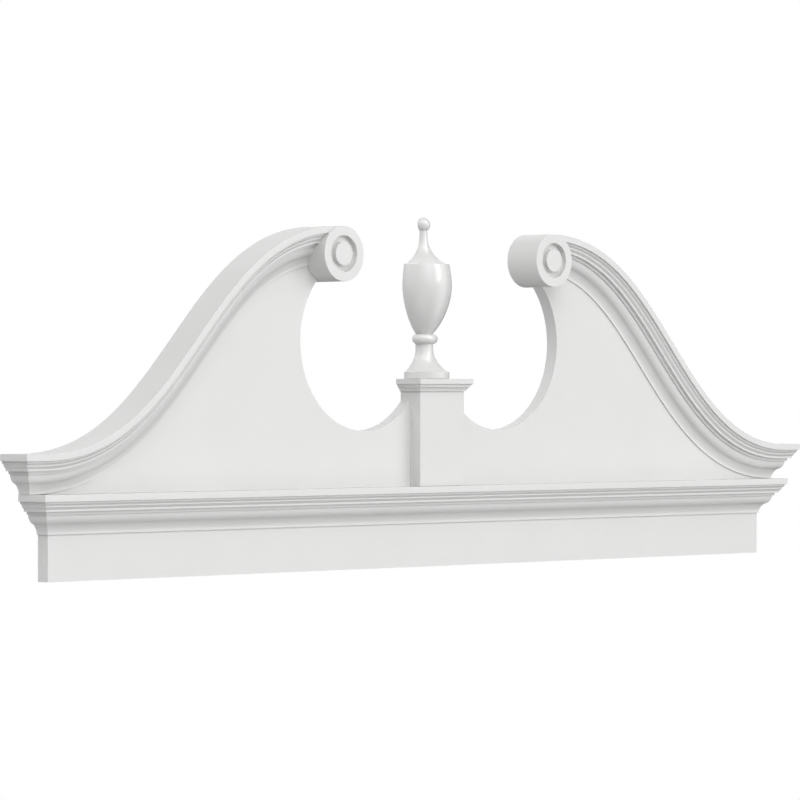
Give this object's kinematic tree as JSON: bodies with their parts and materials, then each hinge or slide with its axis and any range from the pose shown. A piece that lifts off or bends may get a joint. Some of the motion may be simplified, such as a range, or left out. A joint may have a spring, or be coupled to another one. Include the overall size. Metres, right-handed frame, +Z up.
{
  "type": "rams head pediment",
  "caption": "Broken ogee pediment with scroll ends, pedestal and urn finial over a moulded frieze, fixed flat to a wall above a door or window.",
  "frame": {"origin": "on the wall plane, at the middle of the frieze's width and height", "axes": "+X to the right seen from the front, +Y back into the wall, +Z up"},
  "size_m": [2.0588, 0.075, 0.6481],
  "materials": {
    "board": "sanded satin white cellular plastic sheet",
    "moulding": "satin white extruded cellular plastic",
    "drum": "satin white turned plastic",
    "finial": "semi-gloss white moulded plastic"
  },
  "bodies": {
    "root": {"backboard": "board", "base_cornice_front": "moulding", "base_cornice_return_left": "moulding", "base_cornice_return_right": "moulding", "rake_moulding_left": "moulding", "rake_moulding_right": "moulding", "eaves_return_left": "moulding", "eaves_return_right": "moulding", "scroll_drum_left": "drum", "scroll_drum_right": "drum", "pedestal_block": "moulding", "pedestal_cap": "moulding", "finial": "finial"}
  },
  "joints": []
}
